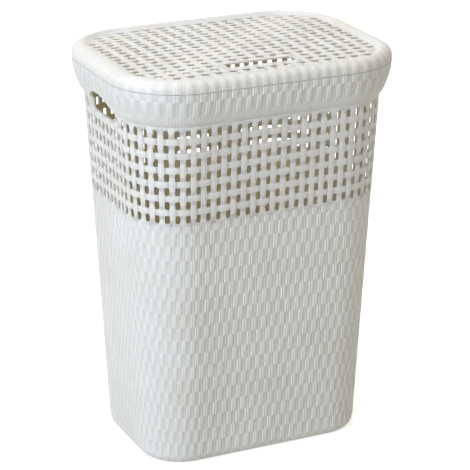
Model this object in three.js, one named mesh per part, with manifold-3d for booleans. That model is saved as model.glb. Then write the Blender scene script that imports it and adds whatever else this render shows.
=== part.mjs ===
// Laundry hamper with a hinged lid: a moulded tub with a vent lattice and a flared collar,
// a domed-rim lid with its own lattice and finger slot, and the two pins that hinge them.
// Millimetres, +Z up, origin on the floor at the middle of the tub's base. -Y is the front.

import * as THREE from 'three';
import { mergeGeometries, mergeVertices } from 'three/addons/utils/BufferGeometryUtils.js';
import Module from 'manifold-3d';

const wasm = await Module();
wasm.setup();

// Tub: overall sizes
const rimWidth = 443; // across X, over the collar
const rimDepth = 335; // across Y, over the collar
const rimHeight = 592; // floor to the top edge of the tub
const rimCornerRadius = 105.5;
const baseWidth = 356;
const baseDepth = 240;
const baseCornerRadius = 67;
const baseEdgeRadius = 12;
const wallThickness = 2.4;
const floorThickness = 2.8;

// Tub: the collar that flares out of the wall
const collarOverhang = 17.5;
const collarHeight = 52;

// Tub: vent lattice below the collar
const ventRows = 5;
const ventWidth = 16;
const ventHeight = 17.5;
const ventRowPitch = 30.5;
const ventTopMargin = 3; // solid wall between the collar and the top row
const ventColumnPitch = 32; // the nearest pitch that divides each side evenly is used

// Tub: handle cut-outs in both short sides
const handleWidth = 86;
const handleSill = 14.5; // below the collar
const handleRise = 35; // sill to the crown of the arch
const handleShoulder = 17; // height of the straight ends
const handleCorner = 7;
const handleMargin = 8; // solid wall kept between a handle and a vent

// Lid
const seamGap = 0.8; // between the tub's rim and the lid's skirt
const lidRise = 17.4; // skirt's lower edge to the crest
const lidThickness = 2.4;
const crestShare = 0.66; // of the way from the outer face to the panel
const panelInsetX = 29.5; // outer face to the lattice panel at the ends
const panelInsetY = 22; // and at the front and back
const panelCornerRadius = 72;
const panelDrop = 4; // crest down to the panel
const lipDepth = 5; // locating lip below the tub's rim
const lipThickness = 1.8;
const lipClearance = 1.5;

// Lid: lattice and finger slot
const gridPitchX = 43.2;
const gridPitchY = 32.9;
const gridHoleX = 24;
const gridHoleY = 16;
const gridMargin = 4; // solid rim kept round the lattice
const slotLength = 108;
const slotWidth = 19;
const slotRadius = 5;
const slotFromFront = 68.7; // lid's front face to the slot's middle
const slotMargin = 5; // solid rim kept round the slot

// Hinges at the back
const hingeSpacing = 160; // middle to middle
const barrelRadius = 5.5;
const barrelGap = 0.5; // barrels to the collar's and skirt's faces
const lidBarrelLength = 24;
const tubBarrelLength = 14;
const barrelEndGap = 0.5;
const pinRadius = 2.5;
const pinClearance = 0.3;
const pinHeadRadius = 4.2;
const pinHeadLength = 2;
const gussetDrop = 14; // below the barrel, down the collar
const rootDepth = 1.2; // how far a lug runs into the wall it stands on

// Fineness of the curved surfaces
const cornerSteps = 8;
const edgeSteps = 4;
const collarSteps = 7;
const roundSides = 24;

const wallTop = rimHeight - collarHeight;
const lidBottom = rimHeight + seamGap;
const panelTop = lidBottom + lidRise - panelDrop;
const hingeY = rimDepth / 2 + barrelGap + barrelRadius;
const hingeZ = rimHeight + seamGap / 2;

// ---------- helpers ----------

// A rounded rectangle at height z, as a ring of points running anticlockwise.
function ring(halfX, halfY, radius, z) {
  const points = [];
  for (let corner = 0; corner < 4; corner++) {
    const cx = (corner === 0 || corner === 3 ? 1 : -1) * (halfX - radius);
    const cy = (corner < 2 ? 1 : -1) * (halfY - radius);
    for (let step = 0; step <= cornerSteps; step++) {
      const angle = (corner + step / cornerSteps) * Math.PI / 2;
      points.push(new THREE.Vector3(cx + radius * Math.cos(angle), cy + radius * Math.sin(angle), z));
    }
  }
  return points;
}

// A closed skin over a stack of rings. The first ring is capped facing down, the last facing up.
function loft(rings) {
  const count = rings[0].length;
  const positions = [];
  const index = [];
  for (const points of rings) {
    for (const p of points) positions.push(p.x, p.y, p.z);
  }
  for (let k = 0; k + 1 < rings.length; k++) {
    for (let i = 0; i < count; i++) {
      const a = k * count + i;
      const b = k * count + (i + 1) % count;
      index.push(a, b, b + count, a, b + count, a + count);
    }
  }
  const low = positions.length / 3;
  positions.push(0, 0, rings[0][0].z);
  positions.push(0, 0, rings[rings.length - 1][0].z);
  const last = (rings.length - 1) * count;
  for (let i = 0; i < count; i++) {
    const next = (i + 1) % count;
    index.push(low, next, i);
    index.push(low + 1, last + i, last + next);
  }
  const geometry = new THREE.BufferGeometry();
  geometry.setAttribute('position', new THREE.Float32BufferAttribute(positions, 3));
  geometry.setIndex(index);
  return geometry;
}

function toSolid(geometry) {
  const bare = geometry.clone();
  bare.deleteAttribute('normal');
  bare.deleteAttribute('uv');
  const merged = mergeVertices(bare, 1e-4);
  return new wasm.Manifold(new wasm.Mesh({
    numProp: 3,
    vertProperties: new Float32Array(merged.attributes.position.array),
    triVerts: new Uint32Array(merged.index.array),
  }));
}

function toGeometry(solid) {
  const mesh = solid.getMesh();
  const indexed = new THREE.BufferGeometry();
  indexed.setAttribute('position', new THREE.BufferAttribute(mesh.vertProperties, 3));
  indexed.setIndex(new THREE.BufferAttribute(mesh.triVerts, 1));
  const geometry = indexed.toNonIndexed();
  geometry.computeVertexNormals();
  return geometry;
}

function join(solid, pieces) {
  return pieces.reduce((whole, piece) => whole.add(toSolid(piece)), solid);
}

// Cutters that stay clear of each other are taken away together.
function cut(solid, cutters) {
  return solid.subtract(toSolid(mergeGeometries(cutters)));
}

// A round bar along X.
function barAlongX(radius, length, x, y, z) {
  return new THREE.CylinderGeometry(radius, radius, length, roundSides)
    .rotateZ(Math.PI / 2)
    .translate(x, y, z);
}

// A Y-Z profile extruded along X, centred on x.
function prismAlongX(shape, length, x) {
  return new THREE.ExtrudeGeometry(shape, { depth: length, bevelEnabled: false, curveSegments: 8 })
    .applyMatrix4(new THREE.Matrix4().set(
      0, 0, 1, x - length / 2,
      1, 0, 0, 0,
      0, 1, 0, 0,
      0, 0, 0, 1));
}

// ---------- tub ----------

// Wall section at height z, moved out by an offset (or in, when it is negative).
function wallSize(z, offset) {
  const t = THREE.MathUtils.clamp(z / wallTop, 0, 1);
  const lerp = THREE.MathUtils.lerp;
  return {
    halfX: lerp(baseWidth, rimWidth - 2 * collarOverhang, t) / 2 + offset,
    halfY: lerp(baseDepth, rimDepth - 2 * collarOverhang, t) / 2 + offset,
    radius: lerp(baseCornerRadius, rimCornerRadius - collarOverhang, t) + offset,
  };
}

function wallRing(z, offset) {
  const size = wallSize(z, offset);
  return ring(size.halfX, size.halfY, size.radius, z);
}

// The collar's outer face: it springs out of the wall and fills out to upright just under the rim.
function collarCurve() {
  return new THREE.CubicBezierCurve(
    new THREE.Vector2(0, wallTop),
    new THREE.Vector2(collarOverhang * 0.34, wallTop + collarHeight * 0.08),
    new THREE.Vector2(collarOverhang * 0.89, wallTop + collarHeight * 0.5),
    new THREE.Vector2(collarOverhang, wallTop + collarHeight * 0.9));
}

// How far the collar's face stands in from the rim's, at height z.
function collarSetback(z) {
  const points = collarCurve().getPoints(collarSteps);
  const above = Math.max(1, points.findIndex((p) => p.y >= z));
  if (z >= points[collarSteps].y) return 0;
  const [low, high] = [points[above - 1], points[above]];
  return collarOverhang - THREE.MathUtils.mapLinear(z, low.y, high.y, low.x, high.x);
}

function tubShell() {
  const rings = [];
  for (let step = 0; step <= edgeSteps; step++) {
    const angle = (step / edgeSteps) * Math.PI / 2;
    const z = baseEdgeRadius * (1 - Math.cos(angle));
    rings.push(wallRing(z, baseEdgeRadius * (Math.sin(angle) - 1)));
  }
  const collar = collarCurve().getPoints(collarSteps);
  for (const p of collar) rings.push(wallRing(p.y, p.x));
  rings.push(wallRing(rimHeight, collarOverhang));
  rings.push(wallRing(rimHeight, collarOverhang - wallThickness));
  for (const p of collar.reverse()) rings.push(wallRing(p.y + wallThickness / 2, p.x - wallThickness));
  const innerRadius = baseEdgeRadius - wallThickness;
  for (let step = edgeSteps; step >= 0; step--) {
    const angle = (step / edgeSteps) * Math.PI / 2;
    const z = floorThickness + innerRadius * (1 - Math.cos(angle));
    rings.push(wallRing(z, innerRadius * (Math.sin(angle) - 1) - wallThickness));
  }
  return loft(rings);
}

// Where the vents stand round the outline: even shares of each straight side and each corner.
function ventPlaces(z) {
  const { halfX, halfY, radius } = wallSize(z, -wallThickness / 2);
  const top = wallSize(wallTop, 0);
  const places = [];
  const share = (length) => Math.max(1, Math.round(length / ventColumnPitch));
  const alongX = share(2 * (top.halfX - top.radius));
  const alongY = share(2 * (top.halfY - top.radius));
  const roundCorner = share(top.radius * Math.PI / 2);
  for (const side of [-1, 1]) {
    for (let i = 0; i < alongX; i++) {
      const x = ((i + 0.5) / alongX * 2 - 1) * (halfX - radius);
      places.push({ x, y: side * halfY, angle: side * Math.PI / 2 });
    }
    for (let i = 0; i < alongY; i++) {
      const y = ((i + 0.5) / alongY * 2 - 1) * (halfY - radius);
      places.push({ x: side * halfX, y, angle: side > 0 ? 0 : Math.PI });
    }
  }
  for (let corner = 0; corner < 4; corner++) {
    const cx = (corner === 0 || corner === 3 ? 1 : -1) * (halfX - radius);
    const cy = (corner < 2 ? 1 : -1) * (halfY - radius);
    for (let i = 0; i < roundCorner; i++) {
      const angle = (corner + (i + 0.5) / roundCorner) * Math.PI / 2;
      places.push({ x: cx + radius * Math.cos(angle), y: cy + radius * Math.sin(angle), angle });
    }
  }
  return places;
}

function ventCutters() {
  const cutters = [];
  const depth = 6 * wallThickness;
  for (let row = 0; row < ventRows; row++) {
    const z = wallTop - ventTopMargin - ventHeight / 2 - row * ventRowPitch;
    const meetsHandle = z + ventHeight / 2 > wallTop - handleSill - handleMargin;
    for (const place of ventPlaces(z)) {
      const onEnd = Math.abs(Math.cos(place.angle)) > 0.5;
      const nearHandle = Math.abs(place.y) < handleWidth / 2 + handleMargin + ventWidth / 2;
      if (meetsHandle && onEnd && nearHandle) continue;
      cutters.push(new THREE.BoxGeometry(depth, ventWidth, ventHeight)
        .rotateZ(place.angle)
        .translate(place.x, place.y, z));
    }
  }
  return cutters;
}

// Handle opening: flat sill, rounded lower corners, arched top. It passes through both ends.
function handleCutter() {
  const half = handleWidth / 2;
  const sill = wallTop - handleSill;
  const corner = handleCorner;
  const shape = new THREE.Shape();
  shape.moveTo(-half + corner, sill);
  shape.lineTo(half - corner, sill);
  shape.quadraticCurveTo(half, sill, half, sill + corner);
  shape.lineTo(half, sill + handleShoulder);
  shape.quadraticCurveTo(half * 0.72, sill + handleRise, 0, sill + handleRise);
  shape.quadraticCurveTo(-half * 0.72, sill + handleRise, -half, sill + handleShoulder);
  shape.lineTo(-half, sill + corner);
  shape.quadraticCurveTo(-half, sill, -half + corner, sill);
  return prismAlongX(shape, rimWidth + 20, 0);
}

// ---------- hinge lugs ----------

function hingeCentres() {
  return [-hingeSpacing / 2, hingeSpacing / 2];
}

function tubBarrelCentres(hingeX) {
  const reach = (lidBarrelLength + tubBarrelLength) / 2 + barrelEndGap;
  return [hingeX - reach, hingeX + reach];
}

// Barrel and gusset that carry one end of a pin on the tub.
function tubLug(x) {
  const face = rimDepth / 2;
  const top = rimHeight - barrelGap / 2;
  const foot = hingeZ - barrelRadius - gussetDrop;
  const footFace = face - collarSetback(foot);
  const shape = new THREE.Shape();
  shape.moveTo(face - rootDepth, top);
  shape.lineTo(footFace - rootDepth, foot);
  shape.lineTo(footFace, foot);
  shape.lineTo(hingeY + barrelRadius * Math.SQRT1_2, hingeZ - barrelRadius * Math.SQRT1_2);
  shape.lineTo(hingeY, top);
  shape.closePath();
  return [barAlongX(barrelRadius, tubBarrelLength, x, hingeY, hingeZ),
    prismAlongX(shape, tubBarrelLength, x)];
}

// Barrel and web that carry the lid on the middle of a pin.
function lidLug(x) {
  const depth = hingeY - rimDepth / 2 + rootDepth;
  const height = barrelRadius - seamGap;
  const web = new THREE.BoxGeometry(lidBarrelLength, depth, height)
    .translate(x, hingeY - depth / 2, hingeZ + barrelRadius - height / 2);
  return [barAlongX(barrelRadius, lidBarrelLength, x, hingeY, hingeZ), web];
}

function pinBores() {
  const length = lidBarrelLength + 2 * (tubBarrelLength + barrelEndGap) + 4;
  return hingeCentres().map((x) => barAlongX(pinRadius + pinClearance, length, x, hingeY, hingeZ));
}

function makeTub() {
  let solid = toSolid(tubShell());
  solid = cut(solid, ventCutters());
  solid = cut(solid, [handleCutter()]);
  for (const hingeX of hingeCentres()) {
    for (const x of tubBarrelCentres(hingeX)) solid = join(solid, tubLug(x));
  }
  return toGeometry(cut(solid, pinBores()));
}

// ---------- lid ----------

// Outline set in from the lid's outer face by one distance all round.
function skirtRing(inset, z) {
  return ring(rimWidth / 2 - inset, rimDepth / 2 - inset, rimCornerRadius - inset, z);
}

// Outline that passes from the lid's outer face, at share 0, to the panel's edge, at share 1.
function rimRing(share, z) {
  return ring(
    rimWidth / 2 - share * panelInsetX,
    rimDepth / 2 - share * panelInsetY,
    rimCornerRadius + share * (panelCornerRadius - rimCornerRadius), z);
}

// The rim's top face: share of the way in, and height over the skirt's lower edge.
function rimTopProfile() {
  const crest = lidRise;
  const slope = 1 - crestShare;
  const outer = new THREE.CubicBezierCurve(
    new THREE.Vector2(0, crest * 0.2),
    new THREE.Vector2(0, crest * 0.72),
    new THREE.Vector2(crestShare * 0.4, crest),
    new THREE.Vector2(crestShare, crest));
  const inner = new THREE.CubicBezierCurve(
    new THREE.Vector2(crestShare, crest),
    new THREE.Vector2(crestShare + slope * 0.55, crest),
    new THREE.Vector2(1 - slope * 0.25, crest - panelDrop * 0.7),
    new THREE.Vector2(1, crest - panelDrop));
  return [...outer.getPoints(edgeSteps + 2), ...inner.getPoints(edgeSteps).slice(1)];
}

function lidShell() {
  const lipOuter = wallThickness + lipClearance;
  const lipInner = lipOuter + lipThickness;
  const top = rimTopProfile();
  const rings = [];
  const narrowRim = Math.min(panelInsetX, panelInsetY);
  for (const p of [...top].reverse()) {
    const share = p.x + lidThickness * 0.6 / narrowRim;
    if (share * narrowRim > lipInner + 1) rings.push(rimRing(share, lidBottom + p.y - lidThickness));
  }
  rings.push(skirtRing(lipInner, lidBottom + lidRise * 0.45));
  rings.push(skirtRing(lipInner, rimHeight - lipDepth));
  rings.push(skirtRing(lipOuter, rimHeight - lipDepth));
  rings.push(skirtRing(lipOuter, lidBottom));
  rings.push(skirtRing(0, lidBottom));
  for (const p of top) rings.push(rimRing(p.x, lidBottom + p.y));
  return loft(rings);
}

// True when a hole of the lid's lattice stays inside the panel's rounded outline.
function insidePanel(x, y, inset) {
  const halfX = rimWidth / 2 - panelInsetX - inset;
  const halfY = rimDepth / 2 - panelInsetY - inset;
  const radius = Math.max(panelCornerRadius - inset, 1);
  const px = Math.max(Math.abs(x) - (halfX - radius), 0);
  const py = Math.max(Math.abs(y) - (halfY - radius), 0);
  return Math.hypot(px, py) < radius && Math.abs(x) < halfX && Math.abs(y) < halfY;
}

// How many holes fit across the panel at this pitch.
function holesAcross(panelSize, hole, pitch) {
  return Math.floor((panelSize - 2 * gridMargin - hole) / pitch) + 1;
}

function gridCutters() {
  const columns = holesAcross(rimWidth - 2 * panelInsetX, gridHoleX, gridPitchX);
  const rows = holesAcross(rimDepth - 2 * panelInsetY, gridHoleY, gridPitchY);
  const slotY = slotFromFront - rimDepth / 2;
  const cutters = [];
  for (let i = 0; i < columns; i++) {
    for (let j = 0; j < rows; j++) {
      const x = (i - (columns - 1) / 2) * gridPitchX;
      const y = (j - (rows - 1) / 2) * gridPitchY;
      const cornerX = Math.abs(x) + gridHoleX / 2;
      const cornerY = Math.abs(y) + gridHoleY / 2;
      if (!insidePanel(cornerX, cornerY, gridMargin)) continue;
      const clearX = Math.abs(x) > (slotLength + gridHoleX) / 2 + slotMargin;
      const clearY = Math.abs(y - slotY) > (slotWidth + gridHoleY) / 2 + slotMargin;
      if (!clearX && !clearY) continue;
      cutters.push(new THREE.BoxGeometry(gridHoleX, gridHoleY, 6 * lidThickness)
        .translate(x, y, panelTop - lidThickness / 2));
    }
  }
  return cutters;
}

function slotCutter() {
  const halfX = slotLength / 2;
  const halfY = slotWidth / 2;
  const shape = new THREE.Shape();
  shape.absarc(halfX - slotRadius, halfY - slotRadius, slotRadius, 0, Math.PI / 2);
  shape.absarc(slotRadius - halfX, halfY - slotRadius, slotRadius, Math.PI / 2, Math.PI);
  shape.absarc(slotRadius - halfX, slotRadius - halfY, slotRadius, Math.PI, Math.PI * 1.5);
  shape.absarc(halfX - slotRadius, slotRadius - halfY, slotRadius, Math.PI * 1.5, Math.PI * 2);
  const depth = 6 * lidThickness;
  return new THREE.ExtrudeGeometry(shape, { depth, bevelEnabled: false, curveSegments: 4 })
    .translate(0, slotFromFront - rimDepth / 2, panelTop - lidThickness / 2 - depth / 2);
}

function makeLid() {
  let solid = toSolid(lidShell());
  solid = cut(solid, gridCutters());
  solid = cut(solid, [slotCutter()]);
  for (const hingeX of hingeCentres()) solid = join(solid, lidLug(hingeX));
  return toGeometry(cut(solid, pinBores()));
}

// ---------- hinge pins ----------

// A headed pin, standing out of the outer barrel at each side by its head.
function makePin() {
  const length = lidBarrelLength + 2 * (tubBarrelLength + barrelEndGap);
  const headBase = length / 2 + pinClearance;
  const profile = [
    new THREE.Vector2(0, -length / 2),
    new THREE.Vector2(pinRadius - 0.6, -length / 2),
    new THREE.Vector2(pinRadius, 0.8 - length / 2),
    new THREE.Vector2(pinRadius, headBase),
    new THREE.Vector2(pinHeadRadius, headBase),
    new THREE.Vector2(pinHeadRadius, headBase + pinHeadLength - 0.6),
    new THREE.Vector2(pinHeadRadius - 0.6, headBase + pinHeadLength),
    new THREE.Vector2(0, headBase + pinHeadLength),
  ];
  return new THREE.LatheGeometry(profile, roundSides);
}

// ---------- assembly ----------

function plastic(color, roughness) {
  return new THREE.MeshStandardMaterial({ color, roughness, metalness: 0 });
}

const hamper = new THREE.Group();

function addPart(name, geometry, material) {
  const mesh = new THREE.Mesh(geometry, material);
  mesh.name = name;
  hamper.add(mesh);
  return mesh;
}

addPart('tub', makeTub(), plastic(0xe4e1d9, 0.5));
addPart('lid', makeLid(), plastic(0xe8e6df, 0.5));
for (const side of [-1, 1]) {
  const name = side < 0 ? 'hinge_pin_left' : 'hinge_pin_right';
  const pin = addPart(name, makePin(), plastic(0xdedbd2, 0.45));
  pin.position.set(side * hingeSpacing / 2, hingeY, hingeZ);
  pin.rotation.z = -side * Math.PI / 2;
}

export default hamper;
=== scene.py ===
# Laundry hamper with a hinged lid: two rattan-look polypropylene mouldings on two pins.
# Shapes are worked in millimetres and scaled to metres as each piece is placed.
import math

import bmesh
import bpy
from mathutils import Matrix, Vector


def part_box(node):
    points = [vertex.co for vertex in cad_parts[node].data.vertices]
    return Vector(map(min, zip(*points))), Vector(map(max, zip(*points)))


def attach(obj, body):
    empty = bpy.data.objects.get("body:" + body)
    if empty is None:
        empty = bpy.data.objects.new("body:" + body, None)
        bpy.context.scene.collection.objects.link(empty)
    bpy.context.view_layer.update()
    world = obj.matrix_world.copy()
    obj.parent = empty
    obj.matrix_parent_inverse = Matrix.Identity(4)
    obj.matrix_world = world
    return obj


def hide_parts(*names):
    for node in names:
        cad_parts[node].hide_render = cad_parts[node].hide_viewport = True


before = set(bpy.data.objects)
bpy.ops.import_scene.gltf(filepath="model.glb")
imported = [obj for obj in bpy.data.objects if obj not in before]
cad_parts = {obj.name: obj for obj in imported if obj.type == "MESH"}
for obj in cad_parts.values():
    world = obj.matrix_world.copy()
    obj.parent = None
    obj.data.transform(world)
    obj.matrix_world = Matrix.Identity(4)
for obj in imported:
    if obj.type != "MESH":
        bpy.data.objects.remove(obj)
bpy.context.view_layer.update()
mm = 0.001
tubLow, tubHigh = [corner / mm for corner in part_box("tub")]
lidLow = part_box("lid")[0] / mm
pinLow, pinHigh = [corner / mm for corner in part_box("hinge_pin_right")]
scene = bpy.context.scene


cameraSetup = dict(
    azimuth=-24.93,
    elevation=20.37,
    distance=3.165,
    aimHeight=0.309,
    lens=158.9,
    sensor=36.0,
    shift=(0.0079, -0.0009),
)


def makeCamera(setup):
    data = bpy.data.cameras.new("productCamera")
    data.lens = setup["lens"]
    data.sensor_width = setup["sensor"]
    data.shift_x, data.shift_y = setup["shift"]
    camera = bpy.data.objects.new("productCamera", data)
    azimuth = math.radians(setup["azimuth"])
    elevation = math.radians(setup["elevation"])
    back = Vector((
        math.sin(azimuth) * math.cos(elevation),
        -math.cos(azimuth) * math.cos(elevation),
        math.sin(elevation),
    ))
    camera.location = Vector((0, 0, setup["aimHeight"])) + back * setup["distance"]
    camera.rotation_euler = (math.pi / 2 - elevation, 0, azimuth)
    scene.collection.objects.link(camera)
    scene.camera = camera


makeCamera(cameraSetup)
print("camera placed")


weave = dict(
    columns=80,  # strand pitches round the hamper
    steps=6,  # mesh columns to a pitch
    frontColumns=7.333,  # pitches from the middle of the front to its corner
    cornerColumns=8.5,
    row=21.5,  # height of a brick, and of a row of holes
    brickHeight=0.95,  # a strand stands this far out where it passes over
    brickCrown=0.2,
    strandRound=0.45,
    strandSwing=0.4,  # over and under at each crossing of the open lattice
    holeCorner=0.5,  # corners of a hole drawn in
    pitch=15.8,  # width of a column at the top of the front
    dustAndShadeShare=0.35,  # how fast the painted shade and dust grey of the lattice grows with depth
)

# Places of the mesh columns across one pitch: bricks have steep sides at a quarter and three quarters.
spacing = dict(
    brick=(0, 0.21, 0.29, 0.5, 0.71, 0.79),
    lattice=(0, 0.14, 0.25, 0.5, 0.75, 0.86),
)


def outlineAt(column, halfX, halfY, radius):
    # Point and outward direction on a rounded rectangle, in pitches from the middle of the front.
    whole = weave["columns"]
    column = column % whole
    flipX = column > whole / 2
    if flipX:
        column = whole - column
    flipY = column > whole / 4
    if flipY:
        column = whole / 2 - column
    straight = weave["frontColumns"]
    bend = weave["cornerColumns"]
    if column < straight:
        x, y, outX, outY = (halfX - radius) * column / straight, -halfY, 0.0, -1.0
    elif column < straight + bend:
        angle = (column - straight) / bend * math.pi / 2
        outX, outY = math.sin(angle), -math.cos(angle)
        x = halfX - radius + radius * outX
        y = radius - halfY + radius * outY
    else:
        left = (whole / 4 - column) / (whole / 4 - straight - bend)
        x, y, outX, outY = halfX, (radius - halfY) * left, 1.0, 0.0
    if flipY:
        y, outY = -y, -outY
    if flipX:
        x, outX = -x, -outX
    return x, y, outX, outY


def brickAt(column, phase):
    # 1 on a strand that passes over, 0 where it passes under, with a steep side between.
    away = abs((column - phase) % 1 - 0.5)
    return min(max((0.29 - away) / 0.08, 0.0), 1.0), max(0.0, 1 - (away / 0.21) ** 2)


def crossingAt(column, row, pitch, halfStrand, halfBar):
    # Height of a plain weave, strands at whole columns and bars at whole rows, and 1 where a bar is on top.
    swing, fall = weave["strandSwing"], weave["strandRound"]
    strand, bar = round(column), round(row)
    aside, apart = abs(column - strand), abs(row - bar) * pitch
    heights = []
    if aside < halfStrand + 0.01:
        rise = swing * math.cos(math.pi * row) * (-1) ** strand
        heights.append((rise - fall * (aside / halfStrand) ** 2, 0.0))
    if apart < halfBar + 0.1:
        rise = -swing * math.cos(math.pi * column) * (-1) ** bar
        heights.append((rise - fall * (apart / halfBar) ** 2, 1.0))
    return max(heights) if heights else (-0.3, 0.0)


def brickLines(low, high, phase, depth=1.0):
    # The mesh lines of one row of bricks, its lower boundary first, where every strand is halfway down.
    lines = [dict(s=low, space="brick", phase=phase, depth=depth, level=True)]
    for share in (0.09, 0.5, 0.91):
        lines.append(dict(s=low + (high - low) * share, space="brick", phase=phase, depth=depth))
    return lines


def brickRelief(column, line):
    # Height above the face's own level, and how much of it lies in shade.
    if line.get("level"):
        return -0.5 * weave["brickHeight"] * line["depth"], 0.5 * line["depth"]
    over, crown = brickAt(column, line["phase"])
    relief = weave["brickHeight"] * (over - 1) + weave["brickCrown"] * (crown - 1)
    return relief * line["depth"], (1 - over) * line["depth"]


def wrapGrid(lines, place, name):
    # A sheet of mesh columns by lines, rolled up to close round the hamper. place gives each point.
    columns = weave["columns"] * weave["steps"]
    bm = bmesh.new()
    bmesh.ops.create_grid(bm, x_segments=columns, y_segments=len(lines) - 1, size=0.5)
    bmesh.ops.transform(bm, matrix=Matrix.Diagonal((columns, len(lines) - 1, 1, 1)), verts=bm.verts)
    bmesh.ops.translate(bm, vec=(columns / 2, (len(lines) - 1) / 2, 0), verts=bm.verts)
    uv = bm.loops.layers.uv.new("weave")
    # Per point: how much painted shade and dust grey it takes, and whether it is an inside face, which takes
    # painted inside shade.
    dustAndShade = bm.verts.layers.float.new("dustAndShade")
    barOnTop = bm.verts.layers.float.new("barOnTop")
    inner = bm.verts.layers.float.new("inner")
    column = bm.verts.layers.float.new("column")
    line = bm.verts.layers.int.new("line")
    for vert in bm.verts:
        step, index = round(vert.co.x), round(vert.co.y)
        vert[line] = index
        whole, part = divmod(step, weave["steps"])
        vert[column] = whole + spacing[lines[index]["space"]][part]
        vert[inner] = float(lines[index].get("inside", False))
        vert.co, vert[dustAndShade], vert[barOnTop] = place(vert[column], lines[index])
    for face in bm.faces:
        for loop in face.loops:
            loop[uv].uv = (loop.vert[column], lines[loop.vert[line]]["s"] / weave["row"])
    print("   ", name, "sheet:", len(lines), "lines,", len(bm.faces), "faces")
    return bm


def toObject(bm, name):
    mesh = bpy.data.meshes.new(name)
    bm.to_mesh(mesh)
    bm.free()
    piece = bpy.data.objects.new(name, mesh)
    scene.collection.objects.link(piece)
    return piece


def combine(piece, tools, operation):
    # Joins, cuts or trims a piece with other solids, which are used up.
    for tool in tools:
        change = piece.modifiers.new("combine", "BOOLEAN")
        change.operation = operation
        change.solver = "MANIFOLD"
        change.object = tool
    depsgraph = bpy.context.evaluated_depsgraph_get()
    result = bpy.data.meshes.new_from_object(
        piece.evaluated_get(depsgraph), preserve_all_data_layers=True, depsgraph=depsgraph)
    piece.modifiers.clear()
    piece.data = result
    for tool in tools:
        bpy.data.objects.remove(tool)


def openEdges(piece):
    bm = bmesh.new()
    bm.from_mesh(piece.data)
    count = sum(1 for edge in bm.edges if not edge.is_manifold)
    triangles = sum(len(face.verts) - 2 for face in bm.faces)
    bm.free()
    return count, triangles


def prismAlongX(points, length, centre):
    # A solid of one outline, given in Y and Z, from side to side of centre.
    bm = bmesh.new()
    ring = [bm.verts.new((centre - length / 2, y, z)) for y, z in points]
    face = bm.faces.new(ring)
    grown = bmesh.ops.extrude_face_region(bm, geom=[face], use_keep_orig=True)
    moved = [item for item in grown["geom"] if isinstance(item, bmesh.types.BMVert)]
    bmesh.ops.translate(bm, vec=(length, 0, 0), verts=moved)
    bmesh.ops.recalc_face_normals(bm, faces=bm.faces)
    return toObject(bm, "prism")


def barAlongX(radius, length, x, y, z, sides=40):
    bm = bmesh.new()
    turn = Matrix.Translation((x, y, z)) @ Matrix.Rotation(math.pi / 2, 4, "Y")
    bmesh.ops.create_cone(
        bm, cap_ends=True, segments=sides, radius1=radius, radius2=radius, depth=length, matrix=turn)
    caps = [edge for edge in bm.edges if len(edge.link_faces) == 2 and edge.calc_face_angle() > 1]
    if radius > 5:
        bmesh.ops.bevel(bm, geom=caps, offset=0.5, segments=2, affect="EDGES", profile=0.5, material=-1)
    bmesh.ops.recalc_face_normals(bm, faces=bm.faces)
    return toObject(bm, "bar")


def softShade(piece, limit=24):
    # Smooth over the weave, sharp at real edges.
    bm = bmesh.new()
    bm.from_mesh(piece.data)
    for face in bm.faces:
        face.smooth = True
    for edge in bm.edges:
        edge.smooth = len(edge.link_faces) != 2 or edge.calc_face_angle(0) < math.radians(limit)
    bm.to_mesh(piece.data)
    bm.free()


def placePiece(piece, body, nodes, finish):
    piece.data.transform(Matrix.Scale(mm, 4))
    piece.data.materials.clear()
    piece.data.materials.append(finish)
    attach(piece, body)
    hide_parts(*nodes)
    print("   ", piece.name, "open edges and triangles:", openEdges(piece))


def linear(hexColor):
    # sRGB hex to the linear values the shader takes.
    values = []
    for start in (1, 3, 5):
        value = int(hexColor[start:start + 2], 16) / 255
        values.append(value / 12.92 if value <= 0.04045 else ((value + 0.055) / 1.055) ** 2.4)
    return (*values, 1.0)


def addNode(tree, kind, settings=None, links=None):
    # Adds a node, sets what settings name, sockets or properties, and links sockets from others.
    node = tree.nodes.new(kind)
    for key, value in (settings or {}).items():
        if isinstance(key, int) or key in node.inputs:
            node.inputs[key].default_value = value
        else:
            setattr(node, key, value)
    for key, source in (links or {}).items():
        tree.links.new(source, node.inputs[key])
    return node


plasticLook = dict(
    light="#E9E7E1",
    deep="#D3CEC1",
    # painted shade with a little dust: the grey mixed into grooves and dips
    dustAndShadeTint="#A9A290",
    roughness=0.46,
    glow=0.4,  # light that soaks through the thin wall and leaves it warmer
    glowReach=(1.0, 0.8, 0.5),
    glowScale=0.006,
    ior=1.49,
    linesPerPitch=4,  # lines 4 to 5.4 mm apart, coarser than the moulding's so that they show
    lineHeight=0.0002,
    # painted shade: inside faces and hole walls are this warmer, darker copy of the same plastic
    inner="#E4DDCA",
    grainHeight=0.00003,
    grainSize=1.1,
    mottleSize=70,
    mottleShare=0.35,
    dustAndShadeTintShare=0.14,
    roughSwing=(-0.05, 0.07),
)
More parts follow.
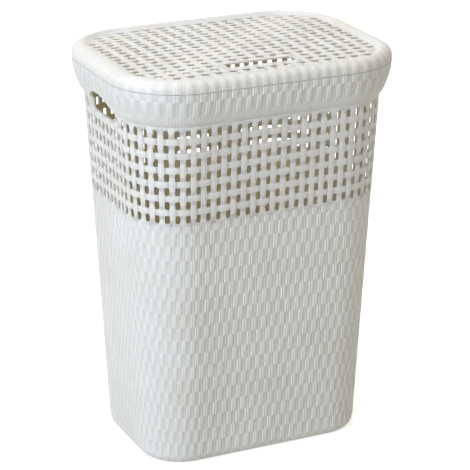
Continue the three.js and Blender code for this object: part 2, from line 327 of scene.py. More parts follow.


# Polypropylene, injection moulded against a textured tool: off-white and a little waxy, with soft
# broad highlights, fine lines along each strand, grey in the grooves that is painted shade with a little
# dust, and a warmer, darker inside that is painted shade.
def wovenPolypropylene(name, look):
    finish = bpy.data.materials.new(name)
    finish.use_nodes = True
    tree = finish.node_tree
    tree.nodes.clear()
    place = addNode(tree, "ShaderNodeTexCoord")
    uv = addNode(tree, "ShaderNodeUVMap", {"uv_map": "weave"})
    split = addNode(tree, "ShaderNodeSeparateXYZ", links={0: uv.outputs[0]})
    dustAndShade = addNode(tree, "ShaderNodeAttribute", {"attribute_name": "dustAndShade"})
    barOnTop = addNode(tree, "ShaderNodeAttribute", {"attribute_name": "barOnTop"})
    inner = addNode(tree, "ShaderNodeAttribute", {"attribute_name": "inner"})

    # lines run up the strands and along the bars
    across = addNode(tree, "ShaderNodeMix", links={
        "Factor": barOnTop.outputs["Fac"], 2: split.outputs[0], 3: split.outputs[1]})
    turns = addNode(tree, "ShaderNodeMath", {"operation": "MULTIPLY", 1: look["linesPerPitch"] * 2 * math.pi},
                    {0: across.outputs[0]})
    lines = addNode(tree, "ShaderNodeMath", {"operation": "SINE"}, {0: turns.outputs[0]})
    lineBump = addNode(tree, "ShaderNodeBump", {"Strength": 1.0, "Distance": look["lineHeight"] / 2},
                       {"Height": lines.outputs[0]})
    grain = addNode(tree, "ShaderNodeTexNoise", {"Scale": 1000 / look["grainSize"], "Detail": 2.0},
                    {"Vector": place.outputs["Object"]})
    bump = addNode(tree, "ShaderNodeBump", {"Strength": 1.0, "Distance": look["grainHeight"]},
                   {"Height": grain.outputs[0], "Normal": lineBump.outputs[0]})

    mottle = addNode(tree, "ShaderNodeTexNoise", {"Scale": 1000 / look["mottleSize"], "Detail": 3.0},
                     {"Vector": place.outputs["Object"]})
    spread = addNode(tree, "ShaderNodeMapRange", {
        "From Min": 0.3, "From Max": 0.7, "To Min": 0.0, "To Max": look["mottleShare"]},
        {"Value": mottle.outputs[0]})
    body = addNode(tree, "ShaderNodeMix", {
        "data_type": "RGBA", 6: linear(look["light"]), 7: linear(look["deep"])}, {0: spread.outputs[0]})
    # Painted shade: the inside faces take a warmer, darker colour.
    insideShaded = addNode(tree, "ShaderNodeMix", {"data_type": "RGBA", 7: linear(look["inner"])},
                    {0: inner.outputs["Fac"], 6: body.outputs[2]})
    # Painted shade with a little dust: grooves and dips are mixed towards grey.
    dustAndShadeAmount = addNode(tree, "ShaderNodeMath", {
        "operation": "MULTIPLY", 1: look["dustAndShadeTintShare"], "use_clamp": True}, {0: dustAndShade.outputs["Fac"]})
    color = addNode(tree, "ShaderNodeMix", {"data_type": "RGBA", 7: linear(look["dustAndShadeTint"])},
                    {0: dustAndShadeAmount.outputs[0], 6: insideShaded.outputs[2]})
    smoother, rougher = look["roughSwing"]
    rough = addNode(tree, "ShaderNodeMapRange", {
        "To Min": look["roughness"] + smoother, "To Max": look["roughness"] + rougher},
        {"Value": grain.outputs[0]})
    shader = addNode(tree, "ShaderNodeBsdfPrincipled", {
        "IOR": look["ior"], "Subsurface Weight": look["glow"], "Subsurface Radius": look["glowReach"],
        "Subsurface Scale": look["glowScale"]}, {
        "Base Color": color.outputs[2], "Roughness": rough.outputs[0], "Normal": bump.outputs[0]})
    addNode(tree, "ShaderNodeOutputMaterial", links={0: shader.outputs[0]})
    return finish


tubFinish = wovenPolypropylene("mouldedWovenPolypropylene", plasticLook)
lidFinish = wovenPolypropylene("mouldedLidPolypropylene", plasticLook)
print("materials made")


tubShape = dict(
    rimHeight=lidLow.z + 5.0,  # measured up from the lid's hinge barrels, 0.1 under the rim of the solids
    collarHeight=52.0,
    overhang=17.5,
    rimRadius=105.5,
    baseHalfX=178.0,
    baseHalfY=120.0,
    baseRadius=67.0,
    baseEdge=12.0,
    wall=2.4,
    floor=2.8,
    footWidth=9.0,
    footHeight=1.0,
    holeRows=7,
    topHole=528.3,
    holeHeight=12.5,
    flareHeight=46.8,  # the collar's face springs out of the wall and is upright just under the rim
    flareOut=(0.34, 0.89),  # its curve's two handles, as shares of the overhang and of the collar
    flareUp=(0.08, 0.5),
    collarBricks=((563.5, 581.5, 0.5), (581.5, 591.4, 0)),  # foot, top and phase of each row
    handleMiddle=(20, 60),  # column of each hand hold
    handleWidth=86.0,
    handleSill=14.5,
    handleRise=35.0,
    handleShoulder=17.0,
    handleCorner=7.0,
    handleLip=3.4,  # the hand hold's wall runs this far in from the outer face
    handleLipWall=2.2,
    handleLipInset=0.9,  # and starts this far under it
    handleClear=4,  # columns each side of a hand hold's middle that have no holes in the top row
    volumeLevels=(480, 500, 520, 537, 540, 543, 547, 552, 557, 562, 568, 575, 585),
    plainLevels=(537.5, 540.2, 543.5, 548.0, 553.0, 558.0),  # outside, between lattice and collar bricks
    insideCollar=(586.0, 579.0, 572.0, 565.0, 558.0, 551.0, 545.0, 540.2),
    insideWall=(385.0, 290.0, 195.0, 100.0, 30.0, 12.0, 8.0, 4.0),
)


def wallSize(z, offset):
    shape = tubShape
    share = min(z / (shape["rimHeight"] - shape["collarHeight"]), 1)
    topX = tubHigh.x - shape["overhang"]
    topY = -tubLow.y - shape["overhang"]
    topRadius = shape["rimRadius"] - shape["overhang"]
    return (
        shape["baseHalfX"] + (topX - shape["baseHalfX"]) * share + offset,
        shape["baseHalfY"] + (topY - shape["baseHalfY"]) * share + offset,
        shape["baseRadius"] + (topRadius - shape["baseRadius"]) * share + offset,
    )


def tubPath(s):
    # Offset from the plain wall, height, and the outward direction as its level and upward parts.
    shape = tubShape
    edge, out, rise = shape["baseEdge"], shape["overhang"], shape["flareHeight"]
    flare = shape["rimHeight"] - shape["collarHeight"]
    if s < edge:
        angle = max(s, 0) / edge * math.pi / 2
        return edge * (math.sin(angle) - 1), edge * (1 - math.cos(angle)), math.sin(angle), -math.cos(angle)
    if s <= flare:
        return 0.0, s, 1.0, 0.0
    if s >= flare + rise:
        return out, s, 1.0, 0.0
    start, wall = Vector((0, flare)), shape["collarHeight"]
    handles = [
        Vector((share * out, flare + lift * wall))
        for share, lift in zip(shape["flareOut"], shape["flareUp"])
    ]
    end = Vector((out, flare + rise))
    t = (s - flare) / rise
    point = (start * (1 - t) ** 3 + handles[0] * 3 * t * (1 - t) ** 2
             + handles[1] * 3 * t * t * (1 - t) + end * t ** 3)
    slope = ((handles[0] - start) * (1 - t) ** 2 + (handles[1] - handles[0]) * 2 * t * (1 - t)
             + (end - handles[1]) * t * t).normalized()
    return point.x, point.y, slope.y, -slope.x


def holeZ(row):
    return tubShape["topHole"] - weave["row"] * (row - 1)


def tubLines():
    # Lines of the tub's skin: out from under the floor, up the outside, over the rim and down the inside.
    shape = tubShape
    half = shape["holeHeight"] / 2
    pitch = weave["row"]
    lowest = holeZ(shape["holeRows"])
    top = shape["rimHeight"] - 0.6
    plain = dict(space="brick", phase=0, depth=0.0)
    foot = shape["baseEdge"] + shape["footWidth"]
    lines = [
        dict(plain, s=-3, offset=-foot - 1.5, z=shape["footHeight"]),
        dict(plain, s=-2, offset=-foot, z=0.0),
    ]
    bricks = int(lowest // pitch)
    firstBrick = lowest - bricks * pitch
    for s, depth in ((0.0, 0.0), (4.0, 0.2), (8.0, 0.55), (12.0, 0.8)):
        if s < firstBrick - 1:
            lines.append(dict(s=s, space="brick", phase=bricks % 2 / 2, depth=depth))
    for n in range(bricks - 1, 0, -1):
        low = lowest - (n + 1) * pitch
        lines += brickLines(low, low + pitch, n % 2 / 2)
    low = lowest - pitch
    lines += brickLines(low, low + pitch, 0)[:3]
    for row in range(shape["holeRows"], 0, -1):
        middle = holeZ(row)
        for z in (middle - half, middle, middle + half):
            lines.append(dict(s=z, space="lattice", hole=row))
        if row > 1:
            for share in (0.25, 0.5, 0.75):
                z = middle + half + (pitch - 2 * half) * share
                lines.append(dict(s=z, space="lattice", hole=0))
    for s in shape["plainLevels"]:
        lines.append(dict(plain, s=s))
    for low, high, phase in shape["collarBricks"]:
        lines += brickLines(low, high, phase)
    wall = shape["wall"]
    lines.append(dict(plain, s=top))
    lines.append(dict(plain, s=top + 0.6, offset=shape["overhang"] - 0.6, z=shape["rimHeight"]))
    lines.append(dict(plain, s=top + 1, offset=shape["overhang"] - wall + 0.5, z=shape["rimHeight"]))
    for s in (top, *shape["insideCollar"]):
        lines.append(dict(plain, s=s, inside=True))
    for row in range(1, shape["holeRows"] + 1):
        middle = holeZ(row)
        for z in (middle + half, middle, middle - half):
            lines.append(dict(s=z, space="lattice", hole=row, inside=True))
        if row < shape["holeRows"]:
            between = holeZ(row + 1) + pitch / 2
            lines.append(dict(s=between, space="lattice", hole=0, inside=True))
    for s in shape["insideWall"]:
        lines.append(dict(plain, s=s, inside=True))
    lines.append(dict(plain, s=0, offset=-shape["baseEdge"] - 1, z=shape["floor"]))
    return lines


def nearHandle(column, row):
    clear = tubShape["handleClear"]
    return row == 1 and any(abs(column - middle) < clear for middle in tubShape["handleMiddle"])


def drawIn(column, line):
    # Corners of a hole are drawn in towards its middle.
    middle = holeZ(line["hole"])
    away = line["s"] - middle
    part = column % 1
    if abs(away) < 1 or abs(part - 0.5) < 0.2 or abs(part - 0.5) > 0.3:
        return column, line["s"]
    share = weave["holeCorner"] / weave["pitch"]
    return column + math.copysign(share, 0.5 - part), line["s"] - math.copysign(weave["holeCorner"], away)


def tubPoint(column, line):
    relief, dustAndShade, barOnTop = 0.0, 0.0, 0.0
    s = line["s"]
    if line["space"] == "lattice":
        if not line.get("inside"):
            row = (s - holeZ(tubShape["holeRows"])) / weave["row"] - 0.5
            halfBar = (weave["row"] - tubShape["holeHeight"]) / 2
            relief, barOnTop = crossingAt(column, row, weave["row"], 0.25, halfBar)
            # Painted shade and dust: a lattice dip takes grey by its depth.
            dustAndShade = max(0.0, -relief - 0.3) * weave["dustAndShadeShare"]
        if line["hole"] and not nearHandle(column, line["hole"]):
            column, s = drawIn(column, line)
    elif not line.get("inside"):
        relief, dustAndShade = brickRelief(column, line)
    offset, z, level, up = tubPath(s)
    if "offset" in line:
        offset, z, level, up, relief = line["offset"], line["z"], 0.0, 0.0, 0.0
    if line.get("inside"):
        relief = -tubShape["wall"]
    x, y, outX, outY = outlineAt(column, *wallSize(z, offset))
    point = Vector((x + outX * level * relief, y + outY * level * relief, z + up * relief))
    return point, dustAndShade, barOnTop


def closeEnds(bm):
    # Flat faces over the two open rims that the sheet leaves, at the floor and under it.
    rims = [edge for edge in bm.edges if edge.is_boundary]
    bmesh.ops.holes_fill(bm, edges=rims, sides=0)


def openHoles(bm, lines):
    line = bm.verts.layers.int["line"]
    column = bm.verts.layers.float["column"]
    gone = []
    for face in bm.faces:
        if len(face.verts) != 4:
            continue
        rows = {lines[vert[line]].get("hole", 0) for vert in face.verts}
        if len(rows) != 1 or 0 in rows:
            continue
        parts = [vert[column] % 1 for vert in face.verts]
        if min(parts) > 0.2 and max(parts) < 0.8 and not nearHandle(face.verts[0][column], rows.pop()):
            gone.append(face)
    bmesh.ops.delete(bm, geom=gone, context="FACES")
    # The walls of each hole: the outer sheet's edges run in to meet the inner sheet's.
    rims = [
        edge for edge in bm.edges
        if edge.is_boundary and not lines[edge.verts[0][line]].get("inside")
    ]
    grown = bmesh.ops.extrude_edge_only(bm, edges=rims)
    # The hole walls take the inside's painted shade.
    inner = bm.verts.layers.float["inner"]
    for item in grown["geom"]:
        if isinstance(item, bmesh.types.BMVert):
            item[inner] = 1.0
            item.co = tubPoint(item[column], dict(lines[item[line]], inside=True))[0]
    bmesh.ops.remove_doubles(bm, verts=[vert for vert in bm.verts if vert.is_boundary], dist=0.02)
    return len(gone)


def archPoints(grow):
    # The hand hold's outline in Y and Z: a flat sill, short straight ends and a low crown.
    shape = tubShape
    half = shape["handleWidth"] / 2 + grow
    sill = shape["rimHeight"] - shape["collarHeight"] - shape["handleSill"] - grow
    rise = shape["handleRise"] + 2 * grow
    shoulder = shape["handleShoulder"] + grow
    corner = shape["handleCorner"]
    side = []
    for step in range(7):
        angle = step / 6 * math.pi / 2
        side.append((half - corner + corner * math.sin(angle), sill + corner - corner * math.cos(angle)))
    for step in range(13):
        t = step / 12
        y = (1 - t) ** 2 * half + 2 * t * (1 - t) * half * 0.72
        z = (1 - t) ** 2 * shoulder + 2 * t * (1 - t) * rise + t * t * rise
        side.append((y, sill + z))
    return side + [(-y, z) for y, z in reversed(side[:-1])]


def wallVolume(inset, name):
    # The plain shape inside the tub's outer face, without its weave.
    levels = [dict(s=s, space="brick") for s in tubShape["volumeLevels"]]

    def place(column, line):
        offset, z, level, up = tubPath(line["s"])
        x, y, outX, outY = outlineAt(column, *wallSize(z, offset))
        return Vector((x - outX * level * inset, y - outY * level * inset, z - up * inset)), 0.0, 0.0

    bm = wrapGrid(levels, place, name)
    bmesh.ops.remove_doubles(bm, verts=bm.verts, dist=0.01)
    closeEnds(bm)
    bmesh.ops.recalc_face_normals(bm, faces=bm.faces)
    return toObject(bm, name)


def handleLips():
    # A wall round each hand hold that follows the tub's face and runs inwards.
    shape = tubShape
    lips = prismAlongX(archPoints(shape["handleLipWall"]), 2 * tubHigh.x + 20, 0)
    combine(lips, [wallVolume(shape["handleLipInset"], "lipFace")], "INTERSECT")
    combine(lips, [wallVolume(shape["handleLip"], "lipBack")], "DIFFERENCE")
    return lips


def makeTub():
    lines = tubLines()
    bm = wrapGrid(lines, tubPoint, "tub")
    bmesh.ops.remove_doubles(bm, verts=[vert for vert in bm.verts if vert.is_boundary], dist=0.02)
    closeEnds(bm)
    print("    holes:", openHoles(bm, lines) // 8)
    bmesh.ops.recalc_face_normals(bm, faces=bm.faces)
    tub = toObject(bm, "woven_tub")
    print("    tub sheet open edges and triangles:", openEdges(tub))
    combine(tub, [handleLips()], "UNION")
    combine(tub, [prismAlongX(archPoints(0), 2 * tubHigh.x + 20, 0)], "DIFFERENCE")
    for hingeX in hingeCentres():
        for x in tubBarrelCentres(hingeX):
            combine(tub, tubLug(x), "UNION")
    combine(tub, pinBores(), "DIFFERENCE")
    softShade(tub)
    placePiece(tub, "hamper", ["tub"], tubFinish)


hinge = dict(
    spacing=pinLow.x + pinHigh.x,  # the right pin's middle is half of this from the centre
    barrel=5.5,
    barrelGap=0.5,
    lidBarrel=24.0,
    tubBarrel=14.0,
    endGap=0.5,
    pin=2.5,
    pinGap=0.3,
    gussetDrop=14.0,
    root=1.2,
    relief=0.8,  # a lug runs this much further in, past the relief
    setback=2.2,  # the collar's face is this far in at a gusset's foot
    seam=0.8,
)
hingeY = (pinLow.y + pinHigh.y) / 2
hingeZ = (pinLow.z + pinHigh.z) / 2


def hingeCentres():
    return [-hinge["spacing"] / 2, hinge["spacing"] / 2]


def tubBarrelCentres(hingeX):
    reach = (hinge["lidBarrel"] + hinge["tubBarrel"]) / 2 + hinge["endGap"]
    return [hingeX - reach, hingeX + reach]


def tubLug(x):
    face = -tubLow.y
    top = tubShape["rimHeight"] - hinge["barrelGap"] / 2
    foot = hingeZ - hinge["barrel"] - hinge["gussetDrop"]
    slant = hinge["barrel"] * math.sqrt(0.5)
    root = hinge["root"] + hinge["relief"]
    outline = [
        (face - root, top),
        (face - hinge["root"] - hinge["setback"], foot),
        (face - hinge["setback"], foot),
        (hingeY + slant, hingeZ - slant),
        (hingeY, top),
    ]
    return [
        barAlongX(hinge["barrel"], hinge["tubBarrel"], x, hingeY, hingeZ),
        prismAlongX(outline, hinge["tubBarrel"] - 0.2, x),
    ]


def lidLug(x):
    face = -tubLow.y
    top = hingeZ + hinge["barrel"]
    bottom = top - hinge["barrel"] + hinge["seam"]
    inner = face - hinge["root"] - hinge["relief"]
    outline = [(inner, bottom), (hingeY, bottom), (hingeY, top - 0.05), (inner, top - 0.05)]
    return [
        barAlongX(hinge["barrel"], hinge["lidBarrel"], x, hingeY, hingeZ),
        prismAlongX(outline, hinge["lidBarrel"] - 0.2, x),
    ]


def pinBores():
    length = hinge["lidBarrel"] + 2 * (hinge["tubBarrel"] + hinge["endGap"]) + 4
    return [barAlongX(hinge["pin"] + hinge["pinGap"], length, x, hingeY, hingeZ) for x in hingeCentres()]


lidShape = dict(
    bottom=tubShape["rimHeight"] + 0.8,
    crest=17.4,  # above the bottom
    crestShare=0.66,  # of the way from the outer face to the panel
    panelInset=(29.5, 22.0),
    panelRadius=72.0,
    panelEdge=12.0,  # above the bottom, at the front and back of the panel
    crownY=3.6,
    crownX=0.8,
    step=0.45,  # the rim stands this far over the lattice
    wall=2.4,
    lipOuter=3.9,
    lipInner=5.7,
    pitch=(21.6, 16.45),
    hole=(12.4, 8.0),
    holes=18,  # each way
    slotSize=(108.0, 19.0),
    slotRadius=5.0,
    slotY=-98.8,
    slotClear=(4.0, 12.0),  # no hole this far past the slot's ends, or from its middle line
    slotFlat=(6.0, 14.0),  # and no weave this far
    rimReach=1.5,  # a hole may run this far under the rim
    trimShare=0.985,  # the lattice ends at this share of the rim's width
    trimLevels=(560.0, 640.0),
    slotToolHeight=40.0,
    ribDepth=0.5,  # of the tub's bricks, fading over the crest
)


def panelHeight(x, y):
    shape = lidShape
    halfX = tubHigh.x - shape["panelInset"][0]
    halfY = -tubLow.y - shape["panelInset"][1]
    crown = shape["crownY"] * (1 - (y / halfY) ** 2) + shape["crownX"] * (1 - (x / halfX) ** 2)
    return shape["bottom"] + shape["panelEdge"] + crown


def rimSize(share):
    shape = lidShape
    return (
        tubHigh.x - share * shape["panelInset"][0],
        -tubLow.y - share * shape["panelInset"][1],
        tubShape["rimRadius"] + share * (shape["panelRadius"] - tubShape["rimRadius"]),
    )


def lidLines():
    # Once round the section: up the skirt, over the crest, down to the panel and back underneath.
    shape = lidShape
    crest, crestShare, wall = shape["crest"], shape["crestShare"], shape["wall"]
    skirt = dict(space="brick", phase=0)
    lines = [dict(skirt, inset=0.0, z=0.5, depth=0.3), dict(skirt, inset=0.0, z=1.6, depth=0.9)]
    for step in range(10):
        t = step / 9
        share = 3 * t * t * (1 - t) * crestShare * 0.4 + t ** 3 * crestShare
        z = crest * (0.2 * (1 - t) ** 3 + 0.72 * 3 * t * (1 - t) ** 2 + 3 * t * t * (1 - t) + t ** 3)
        turn = math.pi / 2 * t ** 1.3
        depth = max(0.0, 1 - (t / 0.95) ** 3) * shape["ribDepth"]
        lines.append(dict(skirt, share=share, z=z, out=(math.cos(turn), math.sin(turn)), depth=depth))
    for t in (0.2, 0.4, 0.6, 0.8, 0.95):
        lines.append(dict(skirt, share=crestShare + (1 - crestShare) * t, z=crest, ease=t, depth=0.0))
    lines.append(dict(skirt, share=1.012, z=crest, ease=1.0, drop=0.35, depth=0.0))
    lines.append(dict(skirt, share=1.02, z=crest, ease=1.0, drop=1.0, depth=0.0))
    under = dict(skirt, depth=0.0, inside=True)
    lines.append(dict(under, share=1.02, z=crest, ease=1.0, drop=wall + 0.6))
    for t in (0.6, 0.2):
        lines.append(dict(under, share=crestShare + (1 - crestShare) * t, z=crest, ease=t, drop=wall))
    lines.append(dict(under, share=0.5, z=crest, drop=wall + 0.2))
    lines.append(dict(under, share=0.36, z=crest, drop=wall + 1.6))
    lines.append(dict(under, inset=shape["lipInner"], z=8.5))
    lines.append(dict(under, inset=shape["lipInner"], z=-5.3))
    lines.append(dict(under, inset=shape["lipInner"] - 0.5, z=-5.8))
    lines.append(dict(skirt, inset=shape["lipOuter"] + 0.5, z=-5.8, depth=0.0))
    lines.append(dict(skirt, inset=shape["lipOuter"], z=-5.3, depth=0.0))
    lines.append(dict(skirt, inset=shape["lipOuter"], z=0.0, depth=0.0))
    lines.append(dict(skirt, inset=0.5, z=0.0, depth=0.0))
    lines.append(dict(lines[0]))
    for line in lines:
        line["s"] = shape["bottom"] + line["z"]
    return lines


def lidPoint(column, line):
    shape = lidShape
    relief, dustAndShade = brickRelief(column, line)
    level, up = line.get("out", (1.0, 0.0))
    if "inset" in line:
        size = (tubHigh.x - line["inset"], -tubLow.y - line["inset"], tubShape["rimRadius"] - line["inset"])
    else:
        size = rimSize(line["share"])
    x, y, outX, outY = outlineAt(column, *size)
    z = shape["bottom"] + line["z"]
    if "ease" in line:
        share = line["ease"] ** 2 * (3 - 2 * line["ease"])
        z += (panelHeight(x, y) - z) * share
    z -= line.get("drop", 0)
    return Vector((x + outX * level * relief, y + outY * level * relief, z + up * relief)), dustAndShade, 0.0


def panelSpots(pitch, hole):
    # Mesh lines across one half of the lattice, in pitches, strands at whole numbers.
    edge = 0.5 - hole / pitch / 2
    return (0, edge / 2, edge, 0.5, 1 - edge, 1 - edge / 2)


def inPanel(x, y, inset):
    shape = lidShape
    halfX = tubHigh.x - shape["panelInset"][0] - inset
    halfY = -tubLow.y - shape["panelInset"][1] - inset
    radius = shape["panelRadius"] - inset
    dx = max(abs(x) - halfX + radius, 0)
    dy = max(abs(y) - halfY + radius, 0)
    return math.hypot(dx, dy) < radius


def nearSlot(x, y, margin):
    shape = lidShape
    return abs(x) < shape["slotSize"][0] / 2 + margin[0] and abs(y - shape["slotY"]) < margin[1]


def panelHole(i, j):
    # Is there a hole between strands i and i + 1, bars j and j + 1?
    shape = lidShape
    x, y = (i + 0.5) * shape["pitch"][0], (j + 0.5) * shape["pitch"][1]
    if not inPanel(abs(x) + shape["hole"][0] / 2, abs(y) + shape["hole"][1] / 2, -shape["rimReach"]):
        return False
    return not nearSlot(x, y, shape["slotClear"])


def makePanel():
    # The lattice of the lid: a crowned plain weave with a hole in each mesh.
    shape = lidShape
    reach = shape["holes"] // 2
    steps = weave["steps"]
    count = shape["holes"] * steps
    spotsX = panelSpots(shape["pitch"][0], shape["hole"][0])
    spotsY = panelSpots(shape["pitch"][1], shape["hole"][1])
    bm = bmesh.new()
    bmesh.ops.create_grid(bm, x_segments=count, y_segments=count, size=count / 2)
    uv = bm.loops.layers.uv.new("weave")
    dustAndShade = bm.verts.layers.float.new("dustAndShade")
    barOnTop = bm.verts.layers.float.new("barOnTop")
    inner = bm.verts.layers.float.new("inner")
    along = {}
    for vert in bm.verts:
        i, partX = divmod(round(vert.co.x + count / 2), steps)
        j, partY = divmod(round(vert.co.y + count / 2), steps)
        i, j = i - reach, j - reach
        column, row = i + spotsX[partX], j + spotsY[partY]
        relief, bar = crossingAt(
            column, row, shape["pitch"][1], spotsX[2], shape["pitch"][1] * spotsY[2])
        x, y = column * shape["pitch"][0], row * shape["pitch"][1]
        if partX in (2, 4) and partY in (2, 4) and panelHole(i, j):
            x += math.copysign(weave["holeCorner"], 3 - partX)
            y += math.copysign(weave["holeCorner"], 3 - partY)
        if nearSlot(x, y, shape["slotFlat"]):
            relief, bar = 0.0, 1.0
        along[vert.index] = (column, row)
        vert.co = (x, y, panelHeight(x, y) - shape["step"] + relief)
        # Painted shade and dust: a dip in the weave takes grey by its depth.
        vert[dustAndShade] = max(0.0, -relief - 0.2) * weave["dustAndShadeShare"]
        vert[barOnTop] = bar
    for face in bm.faces:
        for loop in face.loops:
            loop[uv].uv = along[loop.vert.index]
    gone = []
    for face in bm.faces:
        spot = [sum(along[vert.index][axis] for vert in face.verts) / 4 for axis in (0, 1)]
        i, j = math.floor(spot[0]), math.floor(spot[1])
        inHoleX = spotsX[2] < spot[0] - i < spotsX[4]
        inHoleY = spotsY[2] < spot[1] - j < spotsY[4]
        if inHoleX and inHoleY and panelHole(i, j):
            gone.append(face)
    bmesh.ops.delete(bm, geom=gone, context="FACES")
    print("    lid holes:", len(gone) // 4)
    grown = bmesh.ops.extrude_face_region(bm, geom=bm.faces[:], use_keep_orig=True)
    # The underside takes the inside's painted shade.
    for item in grown["geom"]:
        if isinstance(item, bmesh.types.BMVert):
            item[inner] = 1.0
            item.co.z = panelHeight(item.co.x, item.co.y) - shape["step"] - shape["wall"]
    bmesh.ops.recalc_face_normals(bm, faces=bm.faces)
    return toObject(bm, "lattice")


def panelTrim():
    # Tall solid of the panel's outline, a little under the rim's inner edge.
    levels = [dict(s=s, space="brick", z=z) for s, z in enumerate(lidShape["trimLevels"])]

    def place(column, line):
        x, y = outlineAt(column, *rimSize(lidShape["trimShare"]))[:2]
        return Vector((x, y, line["z"])), 0.0, 0.0

    bm = wrapGrid(levels, place, "panel outline")
    bmesh.ops.remove_doubles(bm, verts=bm.verts, dist=0.01)
    closeEnds(bm)
    bmesh.ops.recalc_face_normals(bm, faces=bm.faces)
    return toObject(bm, "panelOutline")


def slotTool():
    bm = bmesh.new()
    width, depth = lidShape["slotSize"]
    bmesh.ops.create_cube(bm, size=1)
    bmesh.ops.scale(bm, vec=(width, depth, lidShape["slotToolHeight"]), verts=bm.verts)
    corners = [edge for edge in bm.edges if abs(edge.verts[0].co.z - edge.verts[1].co.z) > 1]
    bmesh.ops.bevel(bm, geom=corners, offset=lidShape["slotRadius"], segments=6, affect="EDGES",
                    profile=0.5, material=-1)
    middle = lidShape["bottom"] + lidShape["panelEdge"]
    bmesh.ops.translate(bm, vec=(0, lidShape["slotY"], middle), verts=bm.verts)
    bmesh.ops.recalc_face_normals(bm, faces=bm.faces)
    return toObject(bm, "slotTool")


def makeLid():
    bm = wrapGrid(lidLines(), lidPoint, "lid rim")
    bmesh.ops.remove_doubles(bm, verts=[vert for vert in bm.verts if vert.is_boundary], dist=0.02)
    bmesh.ops.recalc_face_normals(bm, faces=bm.faces)
    lid = toObject(bm, "woven_lid")
    print("    lid rim open edges and triangles:", openEdges(lid))
    panel = makePanel()
    print("    lid panel open edges and triangles:", openEdges(panel))
    combine(panel, [panelTrim()], "INTERSECT")
    combine(lid, [panel], "UNION")
    combine(lid, [slotTool()], "DIFFERENCE")
    for x in hingeCentres():
        combine(lid, lidLug(x), "UNION")
    combine(lid, pinBores(), "DIFFERENCE")
    softShade(lid)
    placePiece(lid, "lid", ["lid"], lidFinish)


makeTub()
print("tub made")
makeLid()
print("lid made")


pinLook = dict(color="#DAD6CB", worn="#C6C0B1", roughness=0.38, ior=1.49, drawSize=0.8, drawHeight=0.00002)


# Polypropylene rod, extruded and headed: smoother and a little greyer than the moulded weave,
# with faint draw lines along the rod that break up its highlight.
def extrudedPolypropylene(name, look):
    finish = bpy.data.materials.new(name)
    finish.use_nodes = True
    tree = finish.node_tree
    tree.nodes.clear()
    place = addNode(tree, "ShaderNodeTexCoord")
    draw = addNode(tree, "ShaderNodeMapping", {"Scale": (0.1, 1.0, 1.0)}, {"Vector": place.outputs["Object"]})
    streak = addNode(tree, "ShaderNodeTexNoise", {"Scale": 1000 / look["drawSize"], "Detail": 2.0},
                     {"Vector": draw.outputs[0]})
    color = addNode(tree, "ShaderNodeMix", {
        "data_type": "RGBA", 6: linear(look["color"]), 7: linear(look["worn"])}, {0: streak.outputs[0]})
    bump = addNode(tree, "ShaderNodeBump", {"Strength": 1.0, "Distance": look["drawHeight"]},
                   {"Height": streak.outputs[0]})
    shader = addNode(tree, "ShaderNodeBsdfPrincipled", {"IOR": look["ior"], "Roughness": look["roughness"]}, {
        "Base Color": color.outputs[2], "Normal": bump.outputs[0]})
    addNode(tree, "ShaderNodeOutputMaterial", links={0: shader.outputs[0]})
    return finish


pinFinish = extrudedPolypropylene("extrudedPolypropyleneRod", pinLook)
for name in ("hinge_pin_left", "hinge_pin_right"):
    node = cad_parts[name]
    node.data.materials.clear()
    node.data.materials.append(pinFinish)
print("pins finished")


studio = dict(
    floorSize=12.0,
    floorGlow=0.46,
    floorColor="#F8F8F7",
    floorRoughness=0.9,
    aimHeight=0.32,
    roomGlow=(0.3, 0.64),  # from below and from above
    roomColor="#FDF8EC",
    lights=(
        dict(name="leftWindow", place=(-2.6, -1.0, 1.2), size=(1.8, 2.0), power=47.4, color="#E3EDFF"),
        dict(name="frontLeftWindow", place=(-2.2, -2.4, 1.4), size=(1.8, 2.0), power=30.5, color="#D2E4FF"),
        dict(name="topPanel", place=(-0.4, 0.5, 2.8), size=(2.0, 2.0), power=23.5, color="#E9EEFF"),
        dict(name="backFill", place=(1.0, 2.8, 1.0), size=(2.0, 1.6), power=14.0, color="#F6F3EC"),
    ),
)


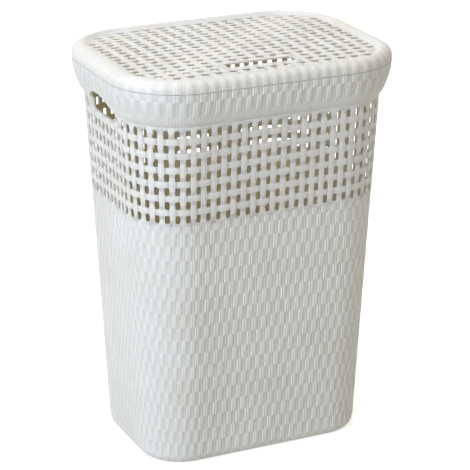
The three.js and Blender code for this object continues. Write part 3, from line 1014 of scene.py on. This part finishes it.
def makeStudio(setup):
    scene.view_settings.view_transform = "Standard"
    bm = bmesh.new()
    bmesh.ops.create_grid(bm, x_segments=2, y_segments=2, size=setup["floorSize"])
    floor = toObject(bm, "studioFloor")
    finish = bpy.data.materials.new("paintedFloor")
    finish.use_nodes = True
    shader = finish.node_tree.nodes["Principled BSDF"]
    shader.inputs["Base Color"].default_value = linear(setup["floorColor"])
    shader.inputs["Roughness"].default_value = setup["floorRoughness"]
    shader.inputs["Emission Color"].default_value = (1, 1, 1, 1)
    shader.inputs["Emission Strength"].default_value = setup["floorGlow"]
    floor.data.materials.append(finish)
    floor.visible_diffuse = False  # the floor shows white without lighting the walls from below
    world = bpy.data.worlds.new("studioWorld")
    scene.world = world
    world.use_nodes = True
    tree = world.node_tree
    tree.nodes.clear()
    seen = addNode(tree, "ShaderNodeLightPath")
    place = addNode(tree, "ShaderNodeTexCoord")
    split = addNode(tree, "ShaderNodeSeparateXYZ", links={0: place.outputs["Generated"]})
    below, above = setup["roomGlow"]
    glow = addNode(tree, "ShaderNodeMapRange", {
        "From Min": -0.5, "From Max": 0.5, "To Min": below, "To Max": above}, {"Value": split.outputs["Z"]})
    room = addNode(tree, "ShaderNodeBackground", {"Color": linear(setup["roomColor"])}, {
        "Strength": glow.outputs[0]})
    backdrop = addNode(tree, "ShaderNodeBackground", {"Color": (1, 1, 1, 1), "Strength": 1.0})
    sky = addNode(tree, "ShaderNodeMixShader", links={
        0: seen.outputs["Is Camera Ray"], 1: room.outputs[0], 2: backdrop.outputs[0]})
    addNode(tree, "ShaderNodeOutputWorld", links={0: sky.outputs[0]})
    for lamp in setup["lights"]:
        data = bpy.data.lights.new(lamp["name"], "AREA")
        data.shape = "RECTANGLE"
        data.size, data.size_y = lamp["size"]
        data.energy = lamp["power"]
        data.color = linear(lamp["color"])[:3]
        light = bpy.data.objects.new(lamp["name"], data)
        light.location = lamp["place"]
        aim = Vector((0, 0, setup["aimHeight"])) - light.location
        light.rotation_euler = aim.to_track_quat("-Z", "Y").to_euler()
        scene.collection.objects.link(light)


makeStudio(studio)
print("studio lit")
